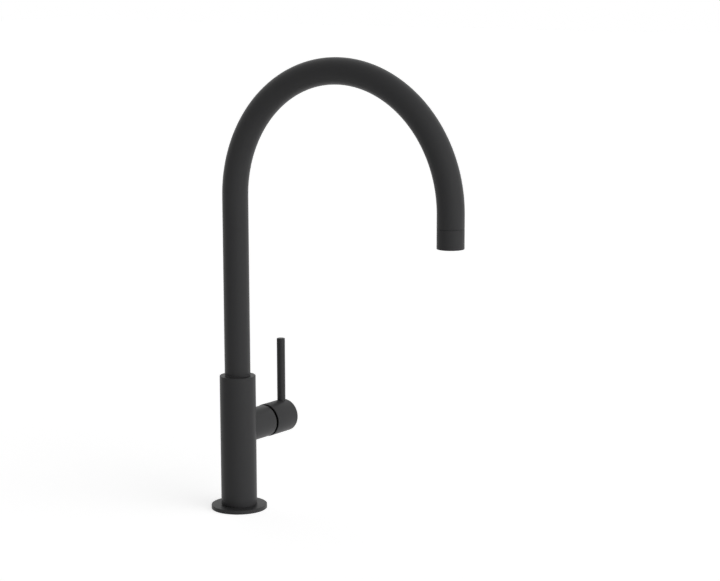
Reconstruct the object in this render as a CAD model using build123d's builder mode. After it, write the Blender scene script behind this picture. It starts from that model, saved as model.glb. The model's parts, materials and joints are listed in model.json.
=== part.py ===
from build123d import *
import os
from math import sqrt

# A tall single-lever mixer tap with a swivelling gooseneck spout, in millimetres
# Z is up, the spout points along -Y and the lever stands on the +X side
# The origin is the centre of the flange's underside, on the worktop

# Clearances
fit_gap = 0.05            # radial, between pieces that are screwed, pressed or glued together
running_gap = 0.05        # radial, where one piece turns or slides in another
seal_gap = 0.04           # radial, a seal against the wall it wipes
side_gap = 0.1            # beside a sliding or rocking piece
loose_gap = 0.2           # where rings guide a shaft and the wall only surrounds it

# Worktop and base
worktop_thickness = 20.0
flange_diameter = 54.5
flange_thickness = 3.8
flange_edge = 0.5
collar_diameter = 33.2
shadow_line = 1.0         # height of the narrow collar under the column
deck_gasket_inner = 38.0
deck_gasket_outer = 46.0
deck_gasket_thickness = 1.8

# Column
body_diameter = 35.0
body_edge = 0.4
spigot_diameter = 31.0
spigot_bottom = 0.5
inlet_thread_core = 8.9   # core diameter of an M10 x 1 thread
inlet_thread_depth = 11.0
inlet_spacing = 13.6
inlet_x = 3.5
waterway_diameter = 4.4
waterway_spacing = 11.2
riser_duct_x = -4.0
riser_duct_diameter = 5.6

# Spout
tube_diameter = 25.0
tube_wall = 1.5
spout_reach = 245.9
bend_centre_height = 307.76
outlet_height = 277.1
aerator_length = 17.9
aerator_edge = 0.8
seam_gap = 0.4
seam_diameter = 23.8

# Spout swivel
socket_web = 8.0          # solid brass between the cartridge's chamber and the socket
socket_depth = 32.6
nipple_diameter = 20.8
nipple_bore = 15.0
plug_length = 13.0
ring_flange_thickness = 1.2
ring_flange_diameter = 24.8
ring_sleeve_diameter = 23.8
ring_sleeve_length = 6.0
foot_ring_height = 4.5
foot_step_diameter = 18.4
foot_gap = 0.5
seal_height = 2.6
seal_groove_diameter = 17.2
seal_groove_width = 2.8
seal_corner = 0.8
seal_rises = (8.4, 13.2)   # above the socket's floor
lock_rise = 20.0
lock_groove_width = 4.4
lock_groove_diameter = 17.8
lock_screw_diameter = 5.0
lock_tip_diameter = 3.6
lock_tip_gap = 0.4
lock_recess = 1.0
hex_key = 2.5
hex_key_depth = 2.0

# Outlet
insert_length = 10.0
insert_thread_diameter = 21.0
lip_thickness = 1.3
lip_opening = 18.6
nose_setback = 0.4        # from the ring's lower edge up to the core's face
core_height = 6.5
cell_pitch = 2.4
cell_size = 1.9           # across flats
cell_rings = 3
screen_thickness = 0.5
screen_recess = 0.8
screen_diameter = 18.4
screen_pitch = 1.8
screen_hole = 1.0
screen_edge = 1.2
aerator_gasket_thickness = 1.6

# Valve housing
valve_height = 79.4
housing_diameter = 31.4
housing_end = 41.0
housing_edge = 0.4
seat_distance = 9.0
nut_diameter = 28.0
nut_length = 7.5
nut_key = 20.4            # across flats of the hexagon in the nut
nut_key_length = 2.4

# Cartridge, along its own axis
cartridge_diameter = 25.0
cartridge_wall = 1.3
neck_diameter = 22.4
neck_length = 5.0
base_thickness = 3.6
base_rim_height = 2.1
base_rim_wall = 1.4
base_rim_inner = 19.4
port_ring = 5.8           # outer diameter of a port's seal
outlet_ring = 7.2
port_ring_section = 1.0
port_ring_depth = 1.6
disc_seal_thickness = 0.6
disc_thickness = 2.8
fixed_disc_diameter = 19.0
moving_disc_diameter = 16.8
inlet_port_diameter = 3.4
inlet_port_y = 4.0
inlet_port_z = 5.12
outlet_port_diameter = 4.8
outlet_port_z = -1.0
mixing_recess_diameter = 8.4
mixing_recess_depth = 1.4
notch_diameter = 2.6
notch_angle = 60.0        # between the disc's two driving notches, either side of its foot
carrier_thickness = 4.2
carrier_width = 15.0
lug_length = 1.4
tongue_length = 3.8
tongue_inner = 15.2       # distance between the rotor's two driving tongues
rotor_flange_diameter = 21.5
rotor_flange_thickness = 2.0
rotor_diameter = 19.0
rotor_length = 12.4
rotor_proud = 1.0         # the rotor's outer end beyond the shell's neck
slot_width = 6.3
slot_above = 5.0          # the rotor's slot, above and below the valve's axis
slot_below = 7.4

# Stem and its pivot
ball_diameter = 4.4
ball_height = 2.4         # the ball's centre above the carrier's foot
arm_length = 7.0          # from the ball's centre to the pivot
neck_rod_diameter = 2.6
square_start = 3.7        # the stem's square part starts this far inside the pivot
stem_length = 33.0        # from the pivot to the stem's outer end
stem_width = 6.0
stem_depth = 7.0
pivot_diameter = 2.5
pivot_length = 18.0

# Handle
groove_width = 2.5
dome_length = 5.4
dome_flange_length = 1.4
dome_wall = 2.5
dome_opening = 19.6
dome_edge = 0.8
cap_diameter = 32.3
cap_length = 32.0
cap_wall = 1.65
cap_outer_edge = 1.8
cap_inner_edge = 0.3
cavity_depth = 18.8
boss_diameter = 14.0
boss_setback = 4.3
stem_end_gap = 0.4
grip_screw_x = 55.0
grip_screw_diameter = 5.0
grip_screw_length = 7.0
tower_diameter = 9.0
lever_x = 68.6
lever_diameter = 8.2
lever_rise = 79.1         # the lever's top above the valve's axis
lever_seat = 12.0
lever_edge = 0.5

# Fixing kit under the worktop
stud_diameter = 8.0
stud_x = -10.0
stud_engagement = 12.0
stud_tail = 24.0
clamp_diameter = 50.0
clamp_gasket_thickness = 2.0
clamp_plate_thickness = 2.5
hose_slot_width = 27.0
hose_slot_start = -3.4
hose_slot_corner = 5.0
stud_hole_gap = 0.3
nut_across_flats = 13.0
fixing_nut_height = 10.0
washer_diameter = 18.0
washer_thickness = 1.5

# Heights that follow
body_foot = flange_thickness + shadow_line
cartridge_bore = cartridge_diameter + 2 * side_gap
socket_floor = valve_height + cartridge_bore / 2 + socket_web
body_top = socket_floor + socket_depth
seal_heights = [socket_floor + rise for rise in seal_rises]
lock_height = socket_floor + lock_rise
lever_top = valve_height + lever_rise
tube_foot = body_top + ring_flange_thickness
bend_radius = spout_reach / 2
insert_top = outlet_height + aerator_length
tube_end = insert_top + seam_gap
foot_ring_top = socket_floor + foot_ring_height
nipple_foot = socket_floor + foot_gap
core_bottom = outlet_height + lip_thickness
core_top = core_bottom + core_height
spigot_end = core_top + aerator_gasket_thickness
clamp_top = -worktop_thickness
plate_top = clamp_top - clamp_gasket_thickness
nut_top = plate_top - clamp_plate_thickness
stud_bottom = nut_top - washer_thickness - fixing_nut_height - stud_tail

# Distances along the valve's axis that follow, from the column's centre
base_top = seat_distance + base_thickness
fixed_disc_start = base_top + disc_seal_thickness
moving_disc_start = fixed_disc_start + disc_thickness
carrier_start = moving_disc_start + disc_thickness
rotor_start = carrier_start + carrier_thickness + side_gap
rotor_shoulder = rotor_start + rotor_flange_thickness
ball_x = carrier_start + ball_height
pivot_x = ball_x + arm_length
neck_end = rotor_shoulder + running_gap + rotor_length - rotor_flange_thickness - rotor_proud
neck_start = neck_end - neck_length
nut_end = neck_start + nut_length
dome_end = nut_end + dome_length
cap_start = housing_end + groove_width
boss_start = cap_start + boss_setback
cavity_end = cap_start + cavity_depth
stem_end = pivot_x + stem_length

# Diameters that follow
socket_diameter = nipple_diameter + 2 * loose_gap
shell_bore = cartridge_diameter - 2 * cartridge_wall
tube_bore = tube_diameter - 2 * tube_wall
cap_cavity_diameter = cap_diameter - 2 * cap_wall

# Places of the three ports on the cartridge's seat, across the valve's axis
inlet_ports = ((inlet_port_y, inlet_port_z), (-inlet_port_y, inlet_port_z))
outlet_port = (0, outlet_port_z)


def level(height):
    # A horizontal plane at a height above the worktop
    return Plane.XY.offset(height)


def across(distance):
    # A plane square to the valve's axis: its own x runs along +Y, its own y along +Z
    return Plane(origin=(distance, 0, valve_height), x_dir=(0, 1, 0), z_dir=(1, 0, 0))


def rearward(x, height):
    # A plane that faces the tap's rear, +Y: its own x runs along +X, its own y along -Z
    return Plane(origin=(x, 0, height), x_dir=(1, 0, 0), z_dir=(0, 1, 0))


# Base flange: round plate with a narrow collar that leaves a shadow line under the column
with BuildPart() as base_flange:
    with BuildSketch(level(0)):
        Circle(flange_diameter / 2)
    extrude(amount=flange_thickness)
    fillet(base_flange.edges().group_by(Axis.Z)[-1], flange_edge)
    with BuildSketch(level(flange_thickness)):
        Circle(collar_diameter / 2)
    extrude(amount=shadow_line)
    with BuildSketch(level(0)):
        Circle(spigot_diameter / 2 + fit_gap)
    extrude(amount=body_foot, mode=Mode.SUBTRACT)
    with BuildSketch(level(0)):
        Circle(deck_gasket_outer / 2 + fit_gap)
        Circle(deck_gasket_inner / 2 - fit_gap, mode=Mode.SUBTRACT)
    extrude(amount=deck_gasket_thickness, mode=Mode.SUBTRACT)

# Deck gasket: rubber ring in the flange's groove, flush with its underside
with BuildPart() as deck_gasket:
    with BuildSketch(level(0)):
        Circle(deck_gasket_outer / 2)
        Circle(deck_gasket_inner / 2, mode=Mode.SUBTRACT)
    extrude(amount=deck_gasket_thickness)

# Body: the column and the valve housing across it, one brass piece
with BuildPart() as body:
    with BuildSketch(level(body_foot)):
        Circle(body_diameter / 2)
    extrude(amount=body_top - body_foot)
    with BuildSketch(across(0)):
        Circle(housing_diameter / 2)
    extrude(amount=housing_end)
    fillet(body.edges().filter_by(GeomType.CIRCLE).sort_by(Axis.X)[-1], housing_edge)
    chamfer(body.edges().filter_by(GeomType.CIRCLE).sort_by(Axis.Z)[-1], body_edge)
    with BuildSketch(level(spigot_bottom)):
        Circle(spigot_diameter / 2)
    extrude(amount=body_foot - spigot_bottom)

    # Spout socket, with a wider mouth for the slide ring
    with BuildSketch(level(socket_floor)):
        Circle(socket_diameter / 2)
    extrude(amount=socket_depth, mode=Mode.SUBTRACT)
    with BuildSketch(level(body_top - ring_sleeve_length)):
        Circle(ring_sleeve_diameter / 2 + fit_gap)
    extrude(amount=ring_sleeve_length, mode=Mode.SUBTRACT)

    # Cartridge chamber, with a wider threaded mouth for its nut
    with BuildSketch(across(seat_distance)):
        Circle(cartridge_bore / 2)
    extrude(amount=housing_end - seat_distance, mode=Mode.SUBTRACT)
    with BuildSketch(across(neck_start)):
        Circle(nut_diameter / 2 + fit_gap)
    extrude(amount=housing_end - neck_start, mode=Mode.SUBTRACT)

    # Hot and cold inlets: threaded ports, ducts up the column and across to the seat
    with BuildSketch(level(spigot_bottom)):
        with Locations((inlet_x, inlet_spacing / 2), (inlet_x, -inlet_spacing / 2)):
            Circle(inlet_thread_core / 2)
    extrude(amount=inlet_thread_depth, mode=Mode.SUBTRACT)
    with BuildSketch(level(spigot_bottom)):
        with Locations((inlet_x, waterway_spacing / 2), (inlet_x, -waterway_spacing / 2)):
            Circle(waterway_diameter / 2)
    extrude(amount=valve_height + inlet_port_z - spigot_bottom, mode=Mode.SUBTRACT)
    with BuildSketch(across(inlet_x)):
        with Locations(*inlet_ports):
            Circle(inlet_port_diameter / 2)
    extrude(amount=seat_distance - inlet_x, mode=Mode.SUBTRACT)

    # Mixed water: from the seat to a duct behind, then up to the spout socket
    with BuildSketch(across(riser_duct_x)):
        with Locations(outlet_port):
            Circle(outlet_port_diameter / 2)
    extrude(amount=seat_distance - riser_duct_x, mode=Mode.SUBTRACT)
    with BuildSketch(level(valve_height + outlet_port_z)):
        with Locations((riser_duct_x, 0)):
            Circle(riser_duct_diameter / 2)
    extrude(amount=socket_floor - valve_height - outlet_port_z, mode=Mode.SUBTRACT)

    # Threaded holes for the fixing stud and the spout's lock screw
    with BuildSketch(level(spigot_bottom)):
        with Locations((stud_x, 0)):
            Circle(stud_diameter / 2 + fit_gap)
    extrude(amount=stud_engagement, mode=Mode.SUBTRACT)
    with BuildSketch(rearward(0, lock_height)):
        Circle(lock_screw_diameter / 2 + fit_gap)
    extrude(amount=body_diameter / 2, mode=Mode.SUBTRACT)

# Upper slide ring: the dark ring between the column's rim and the spout
with BuildPart() as upper_slide_ring:
    with BuildSketch(level(body_top - ring_sleeve_length)):
        Circle(ring_sleeve_diameter / 2)
    extrude(amount=ring_sleeve_length)
    with BuildSketch(level(body_top)):
        Circle(ring_flange_diameter / 2)
    extrude(amount=ring_flange_thickness)
    with Locations((0, 0, body_top)):
        Hole(nipple_diameter / 2 + running_gap)

# Lower slide ring: guides the nipple's foot in the socket
with BuildPart() as lower_slide_ring:
    with BuildSketch(level(socket_floor)):
        Circle(socket_diameter / 2 - fit_gap)
        Circle(foot_step_diameter / 2 + running_gap, mode=Mode.SUBTRACT)
    extrude(amount=foot_ring_height)

# Spout tube: riser, half-circle bend and short tail, one bent tube
with BuildPart() as spout_tube:
    with BuildLine(Plane.YZ) as tube_line:
        Line((0, tube_foot), (0, bend_centre_height))
        CenterArc((-bend_radius, bend_centre_height), bend_radius, 0, 180)
        Line((-spout_reach, bend_centre_height), (-spout_reach, tube_end))
    with BuildSketch(level(tube_foot)):
        Circle(tube_diameter / 2)
        Circle(tube_bore / 2, mode=Mode.SUBTRACT)
    sweep(path=tube_line.wire())

# Spout nipple: turned piece in the tube's foot that plugs into the column
with BuildPart() as spout_nipple:
    with BuildSketch(level(nipple_foot)):
        Circle(foot_step_diameter / 2)
    extrude(amount=foot_ring_top + foot_gap - nipple_foot)
    with BuildSketch(level(foot_ring_top + foot_gap)):
        Circle(nipple_diameter / 2)
    extrude(amount=tube_foot - foot_ring_top - foot_gap)
    with BuildSketch(level(tube_foot)):
        Circle(tube_bore / 2 - fit_gap)
    extrude(amount=plug_length)
    for seal_centre in seal_heights:
        with BuildSketch(level(seal_centre - seal_groove_width / 2)):
            Circle(tube_diameter / 2)
            Circle(seal_groove_diameter / 2, mode=Mode.SUBTRACT)
        extrude(amount=seal_groove_width, mode=Mode.SUBTRACT)
    with BuildSketch(level(lock_height - lock_groove_width / 2)):
        Circle(tube_diameter / 2)
        Circle(lock_groove_diameter / 2, mode=Mode.SUBTRACT)
    extrude(amount=lock_groove_width, mode=Mode.SUBTRACT)
    with Locations((0, 0, tube_foot)):
        Hole(nipple_bore / 2)

# Spout seals: two O-rings, flattened in the nipple's grooves
seal_inner = seal_groove_diameter / 2 + seal_gap
seal_outer = socket_diameter / 2 - seal_gap
with BuildPart() as spout_seals:
    with BuildSketch(Plane.XZ):
        for seal_centre in seal_heights:
            with Locations(((seal_inner + seal_outer) / 2, seal_centre)):
                RectangleRounded(seal_outer - seal_inner, seal_height, seal_corner)
    revolve(axis=Axis.Z)

# Lock screw: from behind into the nipple's groove, so the spout turns but can't lift
lock_tip = lock_groove_diameter / 2 + lock_tip_gap
with BuildPart() as spout_lock_screw:
    with BuildSketch(rearward(0, lock_height)):
        Circle(lock_screw_diameter / 2)
    extrude(amount=body_diameter / 2 - lock_recess)
    with BuildSketch(rearward(0, lock_height)):
        Circle(lock_screw_diameter)
    extrude(amount=lock_tip, mode=Mode.SUBTRACT)
    with BuildSketch(rearward(0, lock_height)):
        Circle(lock_screw_diameter)
        Circle(lock_tip_diameter / 2, mode=Mode.SUBTRACT)
    extrude(amount=socket_diameter / 2 + loose_gap, mode=Mode.SUBTRACT)
    with BuildSketch(rearward(0, lock_height).offset(body_diameter / 2 - lock_recess)):
        RegularPolygon(hex_key / 2, 6, major_radius=False)
    extrude(amount=-hex_key_depth, mode=Mode.SUBTRACT)

# Outlet insert: soldered in the tube's end, its thread carries the aerator ring
outlet_axis = Location((0, -spout_reach, 0))
with BuildPart() as outlet_insert:
    with BuildSketch(level(spigot_end)):
        with Locations(outlet_axis):
            Circle(insert_thread_diameter / 2)
    extrude(amount=insert_top - spigot_end)
    with BuildSketch(level(insert_top)):
        with Locations(outlet_axis):
            Circle(seam_diameter / 2)
    extrude(amount=seam_gap)
    with BuildSketch(level(tube_end)):
        with Locations(outlet_axis):
            Circle(tube_bore / 2 - fit_gap)
    extrude(amount=insert_length)
    with Locations((0, -spout_reach, tube_end)):
        Hole(nipple_bore / 2)

# Aerator housing: the ring at the outlet, with a lip that holds the core
with BuildPart() as aerator_housing:
    with BuildSketch(level(outlet_height)):
        with Locations(outlet_axis):
            Circle(tube_diameter / 2)
    extrude(amount=aerator_length)
    fillet(aerator_housing.edges().group_by(Axis.Z)[0], aerator_edge)
    with BuildSketch(level(core_bottom)):
        with Locations(outlet_axis):
            Circle(insert_thread_diameter / 2 + fit_gap)
    extrude(amount=aerator_length, mode=Mode.SUBTRACT)
    with BuildSketch(level(outlet_height)):
        with Locations(outlet_axis):
            Circle(lip_opening / 2)
    extrude(amount=lip_thickness, mode=Mode.SUBTRACT)

# Aerator gasket: between the core and the insert's end
with BuildPart() as aerator_gasket:
    with BuildSketch(level(core_top)):
        with Locations(outlet_axis):
            Circle(insert_thread_diameter / 2 - side_gap)
            Circle(nipple_bore / 2, mode=Mode.SUBTRACT)
    extrude(amount=aerator_gasket_thickness)

# Aerator core: honeycomb of flow cells, the place of each from its two grid steps
cell_steps = range(-cell_rings, cell_rings + 1)
cells = [
    (cell_pitch * (a + b / 2), cell_pitch * b * sqrt(3) / 2)
    for a in cell_steps
    for b in cell_steps
    if abs(a + b) <= cell_rings
]
with BuildPart() as aerator_core:
    with BuildSketch(level(core_bottom)):
        with Locations(outlet_axis):
            Circle(insert_thread_diameter / 2 - side_gap)
    extrude(amount=core_height)
    with BuildSketch(level(outlet_height + nose_setback)):
        with Locations(outlet_axis):
            Circle(lip_opening / 2 - side_gap)
    extrude(amount=lip_thickness - nose_setback)
    with BuildSketch(level(outlet_height + nose_setback)):
        with Locations(outlet_axis):
            with Locations(*cells):
                RegularPolygon(cell_size / 2, 6, major_radius=False)
    extrude(amount=core_height + lip_thickness, mode=Mode.SUBTRACT)
    with BuildSketch(level(core_top - screen_recess)):
        with Locations(outlet_axis):
            Circle(screen_diameter / 2 + fit_gap)
    extrude(amount=screen_recess, mode=Mode.SUBTRACT)

# Aerator screen: perforated steel disc in the core's top
screen_steps = range(-int(screen_diameter / screen_pitch), int(screen_diameter / screen_pitch) + 1)
screen_reach = screen_diameter / 2 - screen_edge
screen_holes = [
    (screen_pitch * a, screen_pitch * b)
    for a in screen_steps
    for b in screen_steps
    if screen_pitch * sqrt(a * a + b * b) <= screen_reach
]
with BuildPart() as aerator_screen:
    with BuildSketch(level(core_top - screen_recess)):
        with Locations(outlet_axis):
            Circle(screen_diameter / 2)
            with Locations(*screen_holes):
                Rectangle(screen_hole, screen_hole, mode=Mode.SUBTRACT)
    extrude(amount=screen_thickness)

# Cartridge base: stands on the seat, with three ports and a rim round the fixed disc
with BuildPart() as cartridge_base:
    with BuildSketch(across(seat_distance)):
        Circle(cartridge_diameter / 2)
    extrude(amount=base_thickness)
    with BuildSketch(across(base_top)):
        Circle(base_rim_inner / 2 + base_rim_wall)
        Circle(base_rim_inner / 2, mode=Mode.SUBTRACT)
    extrude(amount=base_rim_height)
    with BuildSketch(across(seat_distance)):
        with Locations(*inlet_ports):
            Circle(inlet_port_diameter / 2)
        with Locations(outlet_port):
            Circle(outlet_port_diameter / 2)
    extrude(amount=base_thickness, mode=Mode.SUBTRACT)
    with BuildSketch(across(seat_distance)):
        with Locations(*inlet_ports):
            Circle(port_ring / 2 + fit_gap)
        with Locations(outlet_port):
            Circle(outlet_ring / 2 + fit_gap)
    extrude(amount=port_ring_depth, mode=Mode.SUBTRACT)

# Port seals: three rubber rings, one round each port, pressed on the seat
with BuildPart() as port_seals:
    with BuildSketch(across(seat_distance)):
        with Locations(*inlet_ports):
            Circle(port_ring / 2)
            Circle(port_ring / 2 - port_ring_section, mode=Mode.SUBTRACT)
        with Locations(outlet_port):
            Circle(outlet_ring / 2)
            Circle(outlet_ring / 2 - port_ring_section, mode=Mode.SUBTRACT)
    extrude(amount=port_ring_depth)

# Disc seal: flat rubber with the ports' outlines, between the base and the fixed disc
with BuildPart() as disc_seal:
    with BuildSketch(across(base_top)):
        Circle(fixed_disc_diameter / 2)
        with Locations(*inlet_ports):
            Circle(inlet_port_diameter / 2, mode=Mode.SUBTRACT)
        with Locations(outlet_port):
            Circle(outlet_port_diameter / 2, mode=Mode.SUBTRACT)
    extrude(amount=disc_seal_thickness)

# Fixed disc: ceramic, with two inlets above and the outlet near the middle
with BuildPart() as fixed_disc:
    with BuildSketch(across(fixed_disc_start)):
        Circle(fixed_disc_diameter / 2)
        with Locations(*inlet_ports):
            Circle(inlet_port_diameter / 2, mode=Mode.SUBTRACT)
        with Locations(outlet_port):
            Circle(outlet_port_diameter / 2, mode=Mode.SUBTRACT)
    extrude(amount=disc_thickness)

# Moving disc: ceramic, its round recess joins an inlet to the outlet as it slides up
with BuildPart() as moving_disc:
    with BuildSketch(across(moving_disc_start)):
        Circle(moving_disc_diameter / 2)
        with PolarLocations(moving_disc_diameter / 2, 2, start_angle=270 - notch_angle / 2,
                            angular_range=2 * notch_angle):
            Circle(notch_diameter / 2, mode=Mode.SUBTRACT)
    extrude(amount=disc_thickness)
    with BuildSketch(across(moving_disc_start)):
        Circle(mixing_recess_diameter / 2)
    extrude(amount=mixing_recess_depth, mode=Mode.SUBTRACT)

# Disc carrier: slides between the rotor's tongues and drives the disc by two lugs
with BuildPart() as disc_carrier:
    with BuildSketch(across(carrier_start)):
        Circle(moving_disc_diameter / 2)
        Rectangle(carrier_width, moving_disc_diameter, mode=Mode.INTERSECT)
    extrude(amount=carrier_thickness)
    with BuildSketch(across(carrier_start)):
        with PolarLocations(moving_disc_diameter / 2, 2, start_angle=270 - notch_angle / 2,
                            angular_range=2 * notch_angle):
            Circle(notch_diameter / 2 - side_gap)
        Circle(moving_disc_diameter / 2, mode=Mode.INTERSECT)
    extrude(amount=-lug_length)
    with BuildSketch(across(carrier_start)):
        Circle(ball_diameter / 2 + side_gap)
    extrude(amount=carrier_thickness, mode=Mode.SUBTRACT)

# Cartridge body: plastic shell with a narrower neck that the nut holds down
with BuildPart() as cartridge_body:
    with BuildSketch(across(base_top)):
        Circle(cartridge_diameter / 2)
    extrude(amount=neck_start - base_top)
    with BuildSketch(across(neck_start)):
        Circle(neck_diameter / 2)
    extrude(amount=neck_length)
    with BuildSketch(across(base_top)):
        Circle(shell_bore / 2)
    extrude(amount=rotor_shoulder + running_gap - base_top, mode=Mode.SUBTRACT)
    with BuildSketch(across(rotor_shoulder)):
        Circle(rotor_diameter / 2 + running_gap)
    extrude(amount=neck_end - rotor_shoulder, mode=Mode.SUBTRACT)

# Stem guide: the rotor, which turns in the shell and carries the pivot pin
with BuildPart() as stem_guide:
    with BuildSketch(across(rotor_start)):
        Circle(rotor_flange_diameter / 2)
    extrude(amount=rotor_flange_thickness)
    with BuildSketch(across(rotor_shoulder)):
        Circle(rotor_diameter / 2)
    extrude(amount=rotor_length - rotor_flange_thickness)
    with BuildSketch(across(rotor_start)):
        Circle(rotor_flange_diameter / 2)
        Rectangle(tongue_inner, rotor_flange_diameter, mode=Mode.SUBTRACT)
    extrude(amount=-tongue_length)
    with BuildSketch(across(rotor_start)):
        with Locations((0, (slot_above - slot_below) / 2)):
            Rectangle(slot_width, slot_above + slot_below)
    extrude(amount=rotor_length, mode=Mode.SUBTRACT)
    with BuildSketch(rearward(pivot_x, valve_height)):
        Circle(pivot_diameter / 2 + fit_gap)
    extrude(amount=rotor_diameter, both=True, mode=Mode.SUBTRACT)

# Pivot pin: across the rotor, through the stem
with BuildPart() as pivot_pin:
    with BuildSketch(rearward(pivot_x, valve_height)):
        Circle(pivot_diameter / 2)
    extrude(amount=pivot_length / 2, both=True)

# Stem: square bar outside the pivot, thin rod and ball inside it
with BuildPart() as stem:
    with BuildSketch(across(pivot_x - square_start)):
        Rectangle(stem_width, stem_depth)
    extrude(amount=square_start + stem_length)
    with BuildSketch(across(ball_x)):
        Circle(neck_rod_diameter / 2)
    extrude(amount=arm_length - square_start)
    with Locations((ball_x, 0, valve_height)):
        Sphere(ball_diameter / 2)
    with BuildSketch(rearward(pivot_x, valve_height)):
        Circle(pivot_diameter / 2 + running_gap)
    extrude(amount=stem_width, both=True, mode=Mode.SUBTRACT)

# Cartridge nut: threaded ring with a hexagon inside for its key
with BuildPart() as cartridge_nut:
    with BuildSketch(across(neck_start)):
        Circle(nut_diameter / 2)
    extrude(amount=nut_length)
    with BuildSketch(across(neck_start)):
        Circle(neck_diameter / 2 + side_gap)
    extrude(amount=nut_length - nut_key_length, mode=Mode.SUBTRACT)
    with BuildSketch(across(nut_end)):
        RegularPolygon(nut_key / 2, 6, major_radius=False)
    extrude(amount=-nut_length, mode=Mode.SUBTRACT)

# Dome ring: dark ring over the nut that closes the groove behind the handle
with BuildPart() as dome_ring:
    with BuildSketch(across(nut_end)):
        Circle(nut_diameter / 2)
    extrude(amount=dome_length)
    fillet(dome_ring.edges().sort_by(Axis.X)[-1], dome_edge)
    with BuildSketch(across(nut_end)):
        Circle(nut_diameter / 2 - dome_wall)
    extrude(amount=dome_length - dome_flange_length, mode=Mode.SUBTRACT)
    with BuildSketch(across(nut_end)):
        Circle(dome_opening / 2)
    extrude(amount=dome_length, mode=Mode.SUBTRACT)

# Handle cap: hollow round cap with a boss on the stem and a solid end for the lever
with BuildPart() as handle_cap:
    with BuildSketch(across(cap_start)):
        Circle(cap_diameter / 2)
    extrude(amount=cap_length)
    fillet(handle_cap.edges().sort_by(Axis.X)[-1], cap_outer_edge)
    fillet(handle_cap.edges().sort_by(Axis.X)[0], cap_inner_edge)
    with BuildSketch(across(cap_start)):
        Circle(cap_cavity_diameter / 2)
    extrude(amount=cavity_depth, mode=Mode.SUBTRACT)
    with BuildSketch(across(boss_start)):
        Circle(boss_diameter / 2)
    extrude(amount=cavity_end - boss_start)
    with BuildSketch(level(valve_height - (cap_diameter - cap_wall) / 2)):
        with Locations((grip_screw_x, 0)):
            Circle(tower_diameter / 2)
    extrude(amount=(cap_diameter - cap_wall) / 2)
    with BuildSketch(across(boss_start)):
        Rectangle(stem_width + 2 * fit_gap, stem_depth + 2 * fit_gap)
    extrude(amount=stem_end + stem_end_gap - boss_start, mode=Mode.SUBTRACT)
    with BuildSketch(level(valve_height - cap_diameter / 2)):
        with Locations((grip_screw_x, 0)):
            Circle(grip_screw_diameter / 2 + fit_gap)
    extrude(amount=cap_diameter / 2, mode=Mode.SUBTRACT)
    with BuildSketch(level(valve_height + cap_diameter / 2 - lever_seat)):
        with Locations((lever_x, 0)):
            Circle(lever_diameter / 2 + fit_gap)
    extrude(amount=lever_seat, mode=Mode.SUBTRACT)

# Lever pin: round rod that stands in the cap's solid end
with BuildPart() as lever_pin:
    lever_foot = valve_height + cap_diameter / 2 - lever_seat
    with BuildSketch(level(lever_foot)):
        with Locations((lever_x, 0)):
            Circle(lever_diameter / 2)
    extrude(amount=lever_top - lever_foot)
    chamfer(lever_pin.edges().group_by(Axis.Z)[-1], lever_edge)

# Handle screw: grub screw from below, through the boss, onto the stem's flat
with BuildPart() as handle_screw:
    screw_foot = valve_height - stem_depth / 2 - grip_screw_length
    with BuildSketch(level(screw_foot)):
        with Locations((grip_screw_x, 0)):
            Circle(grip_screw_diameter / 2)
    extrude(amount=grip_screw_length)
    with BuildSketch(level(screw_foot)):
        with Locations((grip_screw_x, 0)):
            RegularPolygon(hex_key / 2, 6, major_radius=False)
    extrude(amount=hex_key_depth, mode=Mode.SUBTRACT)

# Fixing stud: long stud from the column's foot down through the worktop
with BuildPart() as fixing_stud:
    with BuildSketch(level(stud_bottom)):
        with Locations((stud_x, 0)):
            Circle(stud_diameter / 2)
    extrude(amount=spigot_bottom + stud_engagement - stud_bottom)
    chamfer(fixing_stud.edges().group_by(Axis.Z)[0], body_edge)


def horseshoe(top, thickness):
    # A round plate with an open slot for the hoses and a hole for the stud
    with BuildPart() as plate:
        with BuildSketch(level(top)):
            Circle(clamp_diameter / 2)
            with Locations((hose_slot_start, 0)):
                RectangleRounded(2 * clamp_diameter, hose_slot_width, hose_slot_corner,
                                 align=(Align.MIN, Align.CENTER), mode=Mode.SUBTRACT)
            with Locations((stud_x, 0)):
                Circle(stud_diameter / 2 + stud_hole_gap, mode=Mode.SUBTRACT)
        extrude(amount=-thickness)
    return plate


# Clamp gasket and clamp plate: rubber and steel horseshoes under the worktop
clamp_gasket = horseshoe(clamp_top, clamp_gasket_thickness)
clamp_plate = horseshoe(plate_top, clamp_plate_thickness)

# Fixing nut: long hexagon nut with a round collar, run up the stud
with BuildPart() as fixing_nut:
    with BuildSketch(level(nut_top)):
        with Locations((stud_x, 0)):
            Circle(washer_diameter / 2)
    extrude(amount=-washer_thickness)
    with BuildSketch(level(nut_top - washer_thickness)):
        with Locations((stud_x, 0)):
            RegularPolygon(nut_across_flats / 2, 6, major_radius=False)
    extrude(amount=-fixing_nut_height)
    with Locations((stud_x, 0, nut_top)):
        Hole(stud_diameter / 2 + fit_gap)

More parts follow.
